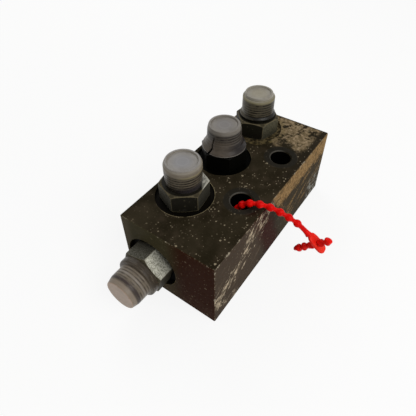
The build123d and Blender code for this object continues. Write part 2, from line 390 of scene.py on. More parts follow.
def right_side(p):
    """Grey-brown and scratched in front, red-brown under the strand."""
    front = p.times(p.on_right, p.rise(p.x, -4, -22))
    p.cover("side_brown", front, 0.8)
    p.cover("side_streak", front, p.step(p.long_streak, 0.5, 0.72), 0.5)
    stain = p.band(p.total(p.x, p.times(p.z, 0.45)), -8 * MM, 7 * MM, 4 * MM)
    p.cover("side_stain", p.on_right, stain, p.step(p.patch, 0.25, 0.45), 0.9)


def scratches(p):
    """Pale broken streaks on the front of the right side, in three bands."""
    slope = p.minus(p.z, p.times(p.x, 0.52))
    line = p.total(slope, p.centred(p.patch, 26 * MM))
    middle = p.band(line, 37 * MM, 51 * MM, 5 * MM)
    low = p.band(p.total(p.z, p.times(p.x, 0.5)), -21 * MM, -14 * MM, 3.5 * MM)
    low = p.times(low, p.rise(p.x, -32, -40))
    high = p.times(p.rise(p.z, 27, 36), p.band(p.x, -36 * MM, -8 * MM, 5 * MM))
    where = p.lifted(0.2, p.highest(middle, low, high))
    where = p.times(p.on_right, p.rise(p.x, 0, -8), where)
    broken = p.total(p.streak, p.centred(p.fine, 0.3), p.centred(p.grain, 0.3))
    cut = p.minus(0.70, p.times(where, 0.197))
    marks = p.step(p.minus(broken, cut), 0.0, 0.07)
    gaps = p.lifted(0.2, p.step(p.noise(4, 2, 0.5), 0.42, 0.54))
    p.cover("scratch", p.on_right, p.step(where, 0.1, 0.3), marks, gaps, 0.85)


def strand_shade(p):
    """Red-brown shade on the top, where the strand leaves the hole."""
    r = p.radius_about(HOLE_XS[0] - 2.5 * MM, HOLE_Y - 6.5 * MM)
    p.cover("strand_shade", p.on_top, p.rise(r, 6, 2.5), 0.75)


def tan_dirt(p):
    """Tan dirt: the far end of the top, a band under the right side's upper edge and
    slanting streaks below it.  Gives how dirty each place is."""
    reach = p.total(p.x, p.centred(p.patch, 26 * MM), p.times(p.y, 0.12))
    blots = p.step(p.total(p.times(p.patch, 0.6), p.times(p.grain, 0.4)), 0.42, 0.49)
    far = p.step(p.x, FAR_FACE - 0.6 * MM, FAR_FACE - 1.8 * MM)
    right = p.step(p.y, RIGHT_FACE + 2.6 * MM, RIGHT_FACE + 4.4 * MM)
    top_dirt = p.times(p.on_top, p.rise(reach, 31, 36), far, right, blots)
    start = p.total(p.x, p.times(p.z, 0.62))
    ragged = p.total(p.centred(p.long_streak, 18 * MM), p.centred(p.grain, 12 * MM))
    lower = p.total(p.times(p.x, -0.012), 31 * MM, ragged)
    mottle = p.step(p.total(p.grain, p.times(p.patch, 0.5)), 0.62, 0.72)
    above = p.rise(p.minus(p.z, lower), 0, 1.2)
    side_band = p.times(p.on_right, above, p.rise(start, 17, 20), p.lifted(0.45, mottle))
    streaks = p.step(p.total(p.long_streak, p.centred(p.fine, 0.3)), 0.52, 0.62)
    below = p.times(p.on_right, p.rise(start, 16, 24), streaks, p.rise(p.z, 3, 9), 0.75)
    dirt = p.highest(top_dirt, p.highest(side_band, below))
    top_tan = p.mix(p.step(p.grain, 0.42, 0.66), "top_tan_dark", "top_tan_light")
    side_tan = p.mix(p.step(p.fine, 0.35, 0.65), "side_tan_dark", "side_tan_light")
    p.cover("side_oil", p.on_right, p.rise(p.x, 0, 10), 0.8)
    p.cover(p.mix(p.on_right, top_tan, side_tan), dirt, 0.92)
    return dirt


def far_marks(p):
    """Chalky dirt low on the far end of the right side, and oil along the top's edge."""
    far = p.rise(p.x, 38, 46)
    low = p.rise(p.z, 24, 12)
    p.cover("chalk", p.on_right, far, low, p.step(p.grain, 0.5, 0.6), 0.8)
    edge = p.step(p.y, RIGHT_FACE + 6.5 * MM, RIGHT_FACE + 3 * MM)
    p.cover("corner_oil", p.on_top, edge, p.rise(p.x, 0, 12), 0.55)


def dust(p):
    """Pale specks, thickest on the right half of the top.  Gives where they are."""
    thick = p.lifted(0.25, p.rise(p.y, 22, -12))
    cluster = p.lifted(0.2, p.step(p.patch, 0.38, 0.62))
    small = p.times(p.specks(1.2, 0.5, 0.55), cluster)
    medium = p.specks(2.8, 0.72, 0.35)
    large = p.specks(6.5, 1.2, 0.25)
    spots = p.highest(p.times(small, 0.75), p.times(medium, 0.8), large)
    spots = p.times(spots, p.highest(p.on_top, 0.35), thick)
    p.cover("dust", spots, 0.9)
    return spots


def bare_edges(p):
    """Bare edges, brightest where the top meets the front of the right side."""
    worn = p.times(p.step(p.noise(3.0, 4, 0.75), 0.44, 0.78), 1.0 * MM)
    right = p.step(p.y, RIGHT_FACE + 1.2 * MM, RIGHT_FACE + 0.6 * MM)
    front = p.rise(p.x, -30, -42)
    high = p.rise(p.z, 40, 43)
    worn = p.total(worn, p.times(right, front, high, 0.25 * MM))
    bare = p.step(p.minus(worn, p.from_edge()), -0.05 * MM, 0.25 * MM)
    p.cover("bare_steel", bare, 0.65)
    return bare


def mounting_holes(p):
    """Clean washer prints, a worn chamfer and painted near-black shade inside.  Gives the
    chamfers.
    """
    chamfers = []
    for x in HOLE_XS:
        r = p.radius_about(x, HOLE_Y)
        p.cover("washer_print", p.band(r, 0.0, WASHER_RADIUS, 0.4 * MM), p.on_top, 0.85)
        outline = p.band(r, WASHER_RADIUS, WASHER_RADIUS + 0.1 * MM, 0.15 * MM)
        p.cover("washer_outline", outline, p.on_top, p.step(p.patch, 0.45, 0.62), 0.5)
        ring = p.band(r, HOLE_RADIUS + 0.15 * MM, HOLE_FLARE - 0.05 * MM, 0.1 * MM)
        ring = p.times(ring, p.step(p.y, HOLE_Y - 1 * MM, HOLE_Y + 3 * MM))
        p.cover("hole_chamfer", ring, 0.4)
        # Painted shade: near-black down the inside of the hole.
        p.cover("hole_painted_shade", p.step(r, HOLE_RADIUS + 0.15 * MM, HOLE_RADIUS))
        chamfers.append(ring)
    return p.highest(*chamfers)


def spotfaces(p):
    """Painted black shade, with oil, in the sunk seats, mud in the far one, and thin worn rims.
    """
    mud = p.mix(p.step(p.grain, 0.4, 0.6), "port_mud_dark", "port_mud_light")
    # The near, middle and end seats are painted near-black: shade in the sunk seat, with oil.
    floors = ("port_oil_and_shade", "port_black_shade", mud, "port_black_shade")
    for name, floor, rim_share in zip(NAMES, floors, (0.9, 0.15, 0.4, 0.35)):
        centre = seat(name).translation
        if name == "end":
            r = p.radius_between(p.y, centre.y, p.z, centre.z)
            sunk_by = p.minus(p.x, END_FACE)
            face = p.on_end
        else:
            r = p.radius_about(centre.x, centre.y)
            sunk_by = p.minus(TOP, p.z)
            face = p.on_top
        inside = p.step(r, SPOTFACE_RADIUS + 0.05 * MM, SPOTFACE_RADIUS - 0.05 * MM)
        p.cover(floor, inside, p.band(sunk_by, 0.2 * MM, SPOTFACE_PAINT_DEPTH, 0.15 * MM))
        if name == "far":
            ring = p.band(r, SPOTFACE_RADIUS, SPOTFACE_RADIUS + 2.5 * MM, 0.8 * MM)
            p.cover("far_mud", ring, face, p.step(p.grain, 0.45, 0.6), 0.7)
        rim = p.band(r, SPOTFACE_RADIUS, SPOTFACE_RADIUS + 0.2 * MM, 0.1 * MM)
        worn = p.step(p.patch, 0.4, 0.5)
        front = p.step(p.y, centre.y + 9 * MM, centre.y - 3 * MM)
        p.cover("port_rim", rim, face, worn, front, rim_share)


def block_steel():
    """Oiled, phosphated steel with dust, tan dirt, scratches, rust and bare edges."""
    p = BlockPaint()
    phosphate(p)
    near_end(p)
    right_side(p)
    scratches(p)
    strand_shade(p)
    dirt = tan_dirt(p)
    far_marks(p)
    spots = dust(p)
    bare = bare_edges(p)
    chamfers = mounting_holes(p)
    spotfaces(p)
    bright = p.times(p.highest(bare, p.times(chamfers, 0.5)), 0.6)
    oiled = p.blend(p.step(p.fine, 0.3, 0.7), 0.5, 0.66)
    roughness = p.blend(p.highest(dirt, spots), oiled, 0.92)
    relief = p.total(
        p.times(p.fine, 0.4), p.times(p.grain, 0.5), p.times(spots, 1.3), p.times(dirt, 0.8)
    )
    p.bump(relief, 0.12, 0.6)
    fill(p.shader, Specular_IOR_Level=0.015)
    return p.finish(roughness, bright)


def zinc_steel(name, oil, dark, light, grime, worn_edge, bright=(), patch=None):
    """Dull zinc plating between dark and light, with that share of it under oily grime.

    worn_edge is how far the worn corners and specks show.  bright lists (azimuth, share) of the
    sides with painted light, left lighter with less grime, from the hexagon's own X axis; patch
    is the block's azimuth of a painted highlight on the outer part of the hexagon's upward
    faces."""
    p = Paint("zinc_" + name)
    edge = p.add("Attribute", attribute_name="edge").outputs["Fac"]
    broad = p.noise(7, 3, 0.6)
    grain = p.noise(1.6, 4, 0.7)
    mottle = p.noise(0.7, 5, 0.8)
    p.colour = p.mix(p.step(mottle, 0.4, 0.6), dark, light)
    wet = p.step(broad, 0.78 - oil, 0.95 - oil)
    # Painted light: the sides turned to these azimuths keep less grime and show lighter.
    for azimuth, share in bright:
        lit_side = p.times(p.turned_to(azimuth, 0.8, 0.95), share)
        wet = p.times(wet, p.minus(1.0, lit_side))
    p.cover(grime, p.step(p.z, HEX_HEIGHT * 0.75, 0.5 * MM), 0.5)
    p.cover(grime, wet, 0.93)
    worn = p.step(p.total(edge, p.times(grain, 0.6)), 0.95, 1.2)
    p.cover("zinc_edge", worn, worn_edge)
    # Painted highlight on the outer part of the hexagon's upward faces.
    if patch is not None:
        outer = p.rise(p.reach(patch - TURNS[name]), 7.6, 8.8)
        upward = p.step(p.facing(2), 0.6, 0.85)
        highlight_colour = p.mix(grain, "zinc_highlight_dark", "zinc_highlight_light")
        p.cover(highlight_colour, outer, upward, p.rise(p.z, 5, 8))
    shelf = p.times(p.step(p.facing(2), 0.8, 0.95), min(1.0, 2 * worn_edge))
    p.cover(grime, shelf, p.step(grain, 0.4, 0.55), 0.75)
    p.cover("zinc_shelf", shelf, p.step(mottle, 0.62, 0.72), 0.6)
    p.cover("zinc_speck", p.specks(1.4, 0.5, 0.25), 0.35 * worn_edge)
    roughness = p.blend(wet, p.blend(mottle, 0.4, 0.62), 0.5)
    metal = p.minus(0.5, p.times(wet, 0.45))
    p.bump(p.total(mottle, p.times(grain, 0.3)), 0.02, 0.6)
    fill(p.shader, Specular_IOR_Level=0.05)
    return p.finish(roughness, metal)


def cap_plastic(name, disc, wall, groove, rings, zones, disc_from, disc_centre=None):
    """Translucent cap: grimy wall with the thread behind it showing as rings.

    rings is (low, high, share, azimuth) and each zone is (low, high, soft, colour, share,
    azimuth), in millimetres up the cap.  Azimuths are the block's, and with None it goes
    all the way round.  The disc is the cap's top, from disc_from millimetres up."""
    p = Paint("cap_%s_plastic" % name)

    def toward(azimuth):
        if azimuth is None:
            return 1.0
        return p.rise(p.reach(azimuth - TURNS[name]), -3, 7)

    around = p.calc("ARCTAN2", p.y, p.x)
    turns = p.calc("DIVIDE", around, math.tau)
    helix = p.minus(p.calc("DIVIDE", p.z, THREAD_PITCH), turns)
    uneven = p.noise(2.2, 3, 0.6, p.scaled((0.5, 0.5, 1)))
    phase = p.total(p.times(helix, math.tau), p.times(uneven, 1.6))
    ridge = p.total(p.times(p.calc("SINE", phase), 0.5), 0.5)
    blotch = p.noise(4.5, 4, 0.65)
    fine = p.noise(0.7, 4, 0.7)
    scuff = p.noise(1.1, 5, 0.7, p.scaled((0.25, 0.25, 1.6)))

    high_up = p.step(p.z, (disc_from - 0.5) * MM, disc_from * MM)
    on_disc = p.times(p.step(p.facing(2), 0.45, 0.8), high_up)
    low, high, share, azimuth = rings
    shows = p.band(p.z, low * MM, high * MM, 0.7 * MM)
    shows = p.times(shows, p.minus(1.0, on_disc), p.step(blotch, 0.3, 0.6), share)
    shows = p.times(shows, toward(azimuth))
    p.colour = p.mix(p.times(p.step(scuff, 0.4, 0.7), 0.55), wall, groove)
    lit = p.total(ridge, p.times(scuff, 0.9), p.times(uneven, 0.8))
    p.cover(p.mix(p.step(lit, 0.95, 1.65), groove, wall), shows)
    for low, high, soft, code, share, azimuth in zones:
        zone = p.band(p.z, low * MM, high * MM, soft * MM)
        p.cover(code, zone, toward(azimuth), share, p.step(scuff, 0.2, 0.5))

    clouded = p.mix(p.times(p.step(blotch, 0.4, 0.65), 0.3), disc, wall)
    r = p.radius_about(0.0, 0.0)
    if disc_centre is not None:
        clouded = p.mix(p.times(p.rise(r, 6.5, 2.5), 0.7), clouded, disc_centre)
    halo = p.times(p.band(r, 2.6 * MM, 3.0 * MM, 0.5 * MM), 0.12)
    p.cover(p.mix(halo, clouded, "cap_halo"), on_disc)
    p.cover("cap_fleck", p.step(fine, 0.55, 0.85), 0.3)
    relief = p.total(p.times(ridge, shows, 0.8), p.times(fine, 0.2), p.times(blotch, 0.6))
    p.bump(relief, 0.14, 0.5)
    fill(p.shader, Specular_IOR_Level=0.15, Subsurface_Weight=0.1)
    fill(p.shader, Subsurface_Radius=(0.8, 0.7, 0.6), Subsurface_Scale=1.2 * MM)
    return p.finish(p.blend(fine, 0.26, 0.42))


def tie_plastic(name, deep, light):
    """Red nylon, a little cloudy."""
    p = Paint(name)
    cloud = p.noise(4, 3, 0.6)
    fine = p.noise(0.5, 3, 0.6)
    p.colour = p.mix(p.step(cloud, 0.35, 0.7), deep, light)
    p.bump(p.total(fine, p.times(cloud, 0.6)), 0.05, 0.5)
    fill(p.shader, Specular_IOR_Level=0.08)
    return p.finish(p.blend(fine, 0.3, 0.46))


def seal_rubber():
    """Matt black rubber."""
    p = Paint("seal_rubber")
    fine = p.noise(0.4, 3, 0.6)
    p.bump(fine, 0.03, 0.4)
    p.colour = p.mix(fine, "rubber_dark", "rubber_light")
    return p.finish(p.blend(fine, 0.5, 0.75))


# --- meshes
def new_object(name, data):
    """New object in the scene; where it is comes later."""
    made = bpy.data.objects.new(name, data)
    bpy.context.scene.collection.objects.link(made)
    return made


def outward(mesh):
    """Join coincident points and turn every face outward."""
    work = bmesh.new()
    work.from_mesh(mesh)
    bmesh.ops.remove_doubles(work, verts=work.verts, dist=SAME_POINT)
    bmesh.ops.recalc_face_normals(work, faces=work.faces)
    work.to_mesh(mesh)
    work.free()


def mesh_piece(name, points, faces, place, material, replaced, attributes=None):
    """Named mesh piece, in its own axes at place, which stands for CAD nodes.

    A mesh with attributes keeps its points as they are, one value each."""
    mesh = bpy.data.meshes.new(name)
    mesh.from_pydata([tuple(point) for point in points], [], faces)
    if attributes is None:
        outward(mesh)
    else:
        for key, values in attributes.items():
            layer = mesh.attributes.new(key, "FLOAT", "POINT")
            layer.data.foreach_set("value", values)
    mesh.materials.append(material)
    mesh.update()
    piece = new_object(name, mesh)
    piece.matrix_world = place
    bpy.context.view_layer.objects.active = piece
    piece.select_set(True)
    bpy.ops.object.shade_smooth_by_angle(angle=SMOOTH_BELOW)
    piece.select_set(False)
    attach(piece, "root")
    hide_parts(*replaced)
    return piece


def repaint(node, material):
    """Give a CAD node's own mesh a better material."""
    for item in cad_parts[node].material_slots:
        item.material = material


def turned(rings, columns):
    """Faces between neighbouring rings of columns points each, closed round."""
    faces = []
    for i in range(rings - 1):
        low, high = i * columns, (i + 1) * columns
        for j in range(columns):
            k = (j + 1) % columns
            faces.append((low + j, low + k, high + k, high + j))
    return faces


def from_corner(angle):
    """Angle from the hexagon's nearest corner."""
    return (angle + HEX_HALF_SIDE) % HEX_SIDE - HEX_HALF_SIDE


def hex_radius(angle):
    """Radius of the hexagon's outline, with its corners cut just a little."""
    flat = HEX_FLATS / 2 / math.cos(HEX_HALF_SIDE - abs(from_corner(angle)))
    return min(flat, HEX_FLATS / math.sqrt(3) - HEX_CORNER_CUT)


def coupling(name, material):
    """Stud coupling as one turned piece: stud, hexagon, thread and coned mouth.

    Each ring has a wear value, which the paint turns into bare edges."""
    columns = len(HEX_ANGLES)
    rings = []
    wears = []

    def ring(radius, height, wear=0.0):
        rings.append([(radius, height)] * columns)
        wears.append(wear)

    def hex_ring(cut, height, wear):
        radii = [hex_radius(angle) for angle in HEX_ANGLES]
        rings.append([(radius - cut, height(radius)) for radius in radii])
        wears.append(wear)

    def shoulder(radius):
        """How far the corner chamfer leaves the hexagon's face at a radius."""
        return max(0.0, radius - HEX_CHAMFER_RADIUS) * HEX_CHAMFER_SLOPE

    ring(FLOW_RADIUS, -STUD_LENGTH)
    ring(STUD_RADIUS - STUD_CHAMFER, -STUD_LENGTH)
    ring(STUD_RADIUS, STUD_CHAMFER - STUD_LENGTH)
    ring(STUD_RADIUS, GROOVE_DEPTH)
    ring(GROOVE_RADIUS, GROOVE_DEPTH)
    ring(GROOVE_RADIUS, 0.0)
    ring(HEX_CHAMFER_RADIUS, 0.0, 0.6)
    # Cut and lift in millimetres, and wear, where the hexagon's sides meet its chamfers.
    hex_edge = ((0.1, 0.0, 1.0), (0.0, 0.1, 1.0), (0.0, 0.7, 0.2))
    for cut, lift, wear in hex_edge:
        hex_ring(cut * MM, lambda r, lift=lift: shoulder(r) + lift * MM, wear)
    for share in (0.25, 0.5, 0.75):
        hex_ring(0.0, lambda r, share=share: HEX_HEIGHT * share, 0.0)
    for cut, lift, wear in reversed(hex_edge):
        hex_ring(cut * MM, lambda r, lift=lift: HEX_HEIGHT - shoulder(r) - lift * MM, wear)
    ring(HEX_CHAMFER_RADIUS, HEX_HEIGHT, 0.8)
    ring(HEX_CHAMFER_RADIUS - 0.5 * MM, HEX_HEIGHT, 0.2)

    start = HEX_HEIGHT + RELIEF * 0.8
    stop = HEX_HEIGHT + TUBE_END
    last = stop - 0.05 * MM
    ring(THREAD_ROOT, HEX_HEIGHT)
    ring(THREAD_ROOT, start)
    for i in range(THREAD_ROWS):
        height = start + (last - start) * (i + 1) / THREAD_ROWS
        crest = THREAD_RADIUS - max(0.0, height - stop + END_CHAMFER)
        fade = min(1.0, (height - start) / THREAD_FADE)
        row = []
        for angle in HEX_ANGLES:
            phase = (height / THREAD_PITCH - angle / math.tau) % 1.0
            ridge = min(1.0, 1.25 * (1 - abs(2 * phase - 1)))
            row.append((THREAD_ROOT + (crest - THREAD_ROOT) * ridge * fade, height))
        rings.append(row)
        wears.append(0.3)

    ring(THREAD_RADIUS - END_CHAMFER, stop, 0.6)
    ring(CONE_MOUTH, stop, 0.6)
    ring(CONE_SEAT, stop - CONE_DEPTH)
    ring(CONE_SEAT, stop - SEAT_DEPTH)
    ring(FLOW_RADIUS, stop - SEAT_DEPTH)
    ring(FLOW_RADIUS, -STUD_LENGTH)

    points = []
    values = []
    for row, wear in zip(rings, wears):
        for angle, (radius, height) in zip(HEX_ANGLES, row):
            points.append((radius * math.cos(angle), radius * math.sin(angle), height))
            corner = 1.0 - min(1.0, abs(from_corner(angle)) / CORNER_WEAR)
            beside = 0.05 * MM < height < HEX_HEIGHT - 0.05 * MM
            on_hex = beside and radius > HEX_CHAMFER_RADIUS
            values.append(max(wear, corner if on_hex else 0.0))
    return mesh_piece(
        "stud_coupling_" + name, points, turned(len(rings), columns), seat(name), material,
        ["coupling_" + name], {"edge": values},
    )


def smooth_profile(corners):
    """Points along an outline of (radius, height, rounding radius), given in millimetres."""
    points = []
    places = [Vector((radius * MM, height * MM)) for radius, height, _ in corners]
    for i, here in enumerate(places):
        rounding = corners[i][2]
        if rounding <= 0:
            points.append(here)
            continue
        back = places[i - 1] - here
        ahead = places[i + 1] - here
        turn = math.pi - back.angle(ahead)
        wanted = rounding * MM * math.tan(turn / 2)
        reach = min(wanted, 0.48 * back.length, 0.48 * ahead.length)
        first = here + back.normalized() * reach
        last = here + ahead.normalized() * reach
        for k in range(ROUNDING_STEPS + 1):
            t = k / ROUNDING_STEPS
            points.append((1 - t) ** 2 * first + 2 * t * (1 - t) * here + t * t * last)
    dense = [points[0]]
    for a, b in zip(points, points[1:]):
        pieces = max(1, math.ceil((b - a).length / PROFILE_STEP))
        dense += [a + (b - a) * (k + 1) / pieces for k in range(pieces)]
    return dense


def cap(name, corners, material, lift):
    """Moulded cap, turned from its closed outline and a little out of true.

    lift is how far its foot stands above the hexagon."""
    profile = smooth_profile(corners)
    points = []
    for radius, height in profile:
        for j in range(CAP_COLUMNS):
            angle = math.tau * j / CAP_COLUMNS
            spot = Vector((math.cos(angle), math.sin(angle), height * 120))
            shift = noise.noise(spot * 1.7 + Vector((len(name), 0, 0))) * CAP_WOBBLE
            moved = radius + shift * min(1.0, radius / CAP_BORE)
            points.append((moved * math.cos(angle), moved * math.sin(angle), height))
    foot = seat(name) @ Matrix.Translation((0, 0, HEX_HEIGHT + lift))
    return mesh_piece(
        "thread_cap_" + name, points, turned(len(profile), CAP_COLUMNS), foot, material,
        ["cap_" + name],
    )


def tear_open(piece):
    """Cut a ragged split down the bell cap's wall, from under its rim to its skirt."""
    count = len(SPLIT_OUTLINE)
    points = [(x, y * MM, z * MM) for x in SPLIT_FROM_AXIS for y, z in SPLIT_OUTLINE]
    faces = [tuple(reversed(range(count))), tuple(range(count, 2 * count))]
    faces += [(i, (i + 1) % count, (i + 1) % count + count, i + count) for i in range(count)]
    mesh = bpy.data.meshes.new("tear")
    mesh.from_pydata(points, [], faces)
    outward(mesh)
    cutter = new_object("tear", mesh)
    azimuth = math.radians(SPLIT_AZIMUTH - TURNS["middle"])
    cutter.matrix_world = piece.matrix_world @ Matrix.Rotation(azimuth, 4, "Z")
    bpy.context.view_layer.update()
    cut = piece.modifiers.new("tear", "BOOLEAN")
    cut.operation = "DIFFERENCE"
    cut.solver = "EXACT"
    cut.object = cutter
    bpy.context.view_layer.objects.active = piece
    bpy.ops.object.modifier_apply(modifier="tear")
    bpy.data.objects.remove(cutter)


# --- block, seals, couplings
repaint("block", block_steel())

# In each row, bright gives the sides with painted light and patch the place of a painted
# highlight.
PLATES = {
    "near": dict(
        oil=0.58, dark="4a473e", light="66645a", grime="14120c", worn_edge=0.45,
        bright=[(150, 0.8), (270, 0.35)], patch=-46,
    ),
    # The middle coupling is near-black: oil, and painted shade under its cap's skirt.
    "middle": dict(oil=0.95, dark="0d0c08", light="14120d", grime="020201", worn_edge=0.0),
    "far": dict(
        oil=0.72, dark="4a4738", light="6d6a58", grime="12100a", worn_edge=0.55,
        bright=[(210, 0.9)],
    ),
    "end": dict(
        oil=0.95, dark="78766a", light="c4c3b4", grime="211c10", worn_edge=0.2,
        bright=[(-90, 1.0), (-30, 0.16)],
    ),
}
rubber = seal_rubber()
for name in NAMES:
    repaint("seal_" + name, rubber)
    coupling(name, zinc_steel(name, **PLATES[name]))

# --- caps
# What each cap's plastic looks like; cap_plastic says what the rows hold.
PLASTICS = {
    "near": dict(
        disc="837f7a", wall="5c5447", groove="14100b", rings=(1.6, 9.4, 1.0, None),
        zones=[
            (-1.0, 2.8, 1.4, "0f0c09", 0.95, None),
            # Painted light: the foot is lighter towards 290 degrees, where the hexagon's top
            # throws light up onto it.
            (-1.0, 3.2, 1.2, "343033", 0.55, 290),
            (9.3, 10.3, 0.4, "95895f", 0.7, 290),
            (9.6, 13.0, 0.8, "7d7466", 0.75, None),
            (11.9, 14.0, 0.3, "938e84", 0.5, None),
        ],
        disc_from=11.5, disc_centre="77777a",
    ),
    "middle": dict(
        disc="7a756e", wall="4f4942", groove="14100d", rings=(3.4, 11.2, 0.9, None),
        zones=[
            (-1.0, 5.2, 1.6, "2b2625", 0.75, None),
            (0.6, 4.6, 1.0, "151010", 0.8, 280),
            (-1.0, 7.5, 1.2, "665c50", 0.6, 150),
            (-0.3, 0.5, 0.25, "8f8982", 0.6, None),
            (11.4, 14.0, 0.6, "79736a", 0.8, None),
        ],
        disc_from=12.0, disc_centre="6d6a69",
    ),
    "far": dict(
        disc="8e897e", wall="5f5848", groove="0b0904", rings=(0.8, 10.2, 1.0, 235),
        zones=[
            (-1.0, 2.2, 0.6, "0c0a05", 0.97, 240),
            (2.0, 10.0, 1.0, "1c1811", 0.5, 300),
            (10.2, 12.0, 0.3, "7f785c", 0.75, None),
            (11.8, 14.0, 0.3, "9a958a", 0.8, None),
        ],
        disc_from=11.5, disc_centre="8d8673",
    ),
    "end": dict(
        disc="a38c79", wall="746a5c", groove="3a322a", rings=(3.6, 12.2, 0.8, None),
        zones=[
            (-1.0, 3.9, 0.7, "30281e", 0.88, None),
            (10.2, 12.2, 0.5, "332a29", 0.85, None),
            # The pale band from 7 to 8 millimetres is a painted highlight.
            (7.0, 8.0, 0.3, "8d857c", 0.6, None),
            (12.6, 15.0, 0.4, "877a6c", 0.8, None),
        ],
        disc_from=14.0,
    ),
}
# Each cap's outline, from the middle of its top out over the rim, down the wall and back
# up the bore, as radius, height and rounding in millimetres.
OUTLINES = {
    "near": [
        (0.0, 12.15, 0), (7.1, 12.15, 0.5), (7.5, 13.05, 0.4), (8.5, 13.05, 0.5),
        (9.3, 11.4, 1.0), (9.35, 9.0, 3.0), (9.05, 0.0, 0), (BORE, 0.0, 0),
        (BORE, 11.0, 0), (0.0, 11.0, 0),
    ],
    "middle": [
        (0.0, 12.4, 0), (6.7, 12.4, 0.4), (7.1, 13.3, 0.3), (8.25, 13.3, 0.5),
        (8.9, 10.6, 3.0), (9.2, 5.6, 5.0), (10.3, 2.6, 2.5), (11.55, 0.9, 1.2),
        (11.75, 0.05, 0.1), (10.8, 0.05, 0.1), (9.5, 2.6, 2.0), (BORE, 6.4, 3.0),
        (BORE, 11.0, 0), (0.0, 11.0, 0),
    ],
    "far": [
        (0.0, 11.75, 0), (6.6, 12.15, 0.5), (6.75, 13.05, 0.3), (7.85, 13.05, 0.4),
        (8.0, 11.5, 0.3), (9.1, 10.8, 0.4), (9.12, 1.6, 0.6), (10.0, 0.6, 0),
        (10.15, 0.0, 0.2), (BORE, 0.0, 0), (BORE, 9.7, 0), (BORE - 1.0, 10.7, 0),
        (0.0, 10.7, 0),
    ],
    "end": [
        (0.0, 14.8, 0), (8.15, 14.8, 0.6), (9.12, 11.2, 2.0), (9.25, 4.0, 0.5),
        (11.15, 3.65, 1.1), (11.15, 0.0, 0.4), (BORE, 0.0, 0), (BORE, 11.7, 0),
        (BORE - 0.6, 13.7, 0), (0.0, 13.7, 0),
    ],
}
CAP_LIFTS = {"far": 1.4 * MM}
for name in NAMES:
    plastic = cap_plastic(name, **PLASTICS[name])
    moulding = cap(name, OUTLINES[name], plastic, CAP_LIFTS.get(name, 0.0))
    if name == "middle":
        tear_open(moulding)

# --- tie
HOLE_MOUTH = Vector((HOLE_XS[0], HOLE_Y, TOP))
# The strand's route from the hole's mouth, in millimetres, as in the part's source.
STRAND_ROUTE = [
    (-0.15, 2.4, -37.5), (0.15, 2.8, -28.5), (-0.25, 3.0, -18.5), (-1.05, 2.6, -10.5),
    (-1.85, 1.1, -4.1), (-2.05, -2.2, 0.9), (-1.65, -6.4, 3.5), (-0.45, -11.3, 4.4),
    (0.85, -16.2, 3.8), (2.15, -20.6, 2.0), (3.45, -24.6, -0.2), (4.75, -28.4, -2.9),
    (5.45, -31.8, -5.6), (5.75, -34.3, -7.85),
]
STRAND_POINTS = [HOLE_MOUTH + Vector(offset) * MM for offset in STRAND_ROUTE]
TAIL = Vector((0.01, 0.66, -0.75)).normalized()
LINE_STEP = 0.25 * MM
TUBE_COLUMNS = 28
BEAD_RADIUS = 1.95 * MM
BEAD_BLEND = 0.5 * MM
BEAD_SINK = 0.12 * MM
BEAD_PITCH = 5.07 * MM
LAST_BEAD = 8.1 * MM
LINK_RADIUS = 1.1 * MM
NECK_RADIUS = 1.25 * MM
NECK_RUN = 3 * MM
NECK_END = 1.75 * MM
NECK_END_RUN = 4 * MM


def head_axes():
    """Directions of the head's plate: along the strand, across it and through it."""
    along = (STRAND_POINTS[-1] - STRAND_POINTS[-2]).normalized()
    through = (-TAIL - along * (-TAIL).dot(along)).normalized()
    return along, through.cross(along), through


ALONG, ACROSS, THROUGH = head_axes()
EYE = STRAND_POINTS[-1] + ALONG * 6.6 * MM + ACROSS * 0.4 * MM


def spline_points(route):
    """Points along the route's NURBS line."""
    curve = bpy.data.curves.new("route", "CURVE")
    curve.dimensions = "3D"
    curve.resolution_u = 16
    line = curve.splines.new("NURBS")
    line.points.add(len(route) - 1)
    for point, place in zip(line.points, route):
        point.co = (*place, 1.0)
    line.order_u = 3
    line.use_endpoint_u = True
    holder = new_object("route", curve)
    bpy.context.view_layer.update()
    mesh = bpy.data.meshes.new_from_object(holder)
    points = [vertex.co.copy() for vertex in mesh.vertices]
    bpy.data.objects.remove(holder)
    return points


def arc_lengths(points):
    """Length of the line up to each of its points."""
    lengths = [0.0]
    for a, b in zip(points, points[1:]):
        lengths.append(lengths[-1] + (b - a).length)
    return lengths


def resampled(points):
    """Points every LINE_STEP along a line."""
    lengths = arc_lengths(points)
    count = max(2, round(lengths[-1] / LINE_STEP))
    result = []
    i = 0
    for k in range(count + 1):
        target = lengths[-1] * k / count
        while i < len(lengths) - 2 and lengths[i + 1] < target:
            i += 1
        share = (target - lengths[i]) / (lengths[i + 1] - lengths[i])
        result.append(points[i].lerp(points[i + 1], share))
    return result


def tube_mesh(points, radius_at):
    """Closed tube along points; radius_at gives its radius at a length and an angle round."""
    lengths = arc_lengths(points)
    ahead = (points[1] - points[0]).normalized()
    side = ahead.orthogonal().normalized()
    verts = []
    for i, point in enumerate(points):
        before = points[max(0, i - 1)]
        after = points[min(len(points) - 1, i + 1)]
        ahead = (after - before).normalized()
        side = (side - ahead * side.dot(ahead)).normalized()
        up = ahead.cross(side)
        for j in range(TUBE_COLUMNS):
            angle = math.tau * j / TUBE_COLUMNS
            radius = radius_at(lengths[i], angle)
            verts.append(point + (side * math.cos(angle) + up * math.sin(angle)) * radius)
    faces = turned(len(points), TUBE_COLUMNS)
    faces.append(tuple(reversed(range(TUBE_COLUMNS))))
    last = (len(points) - 1) * TUBE_COLUMNS
    faces.append(tuple(last + j for j in range(TUBE_COLUMNS)))
    return verts, faces


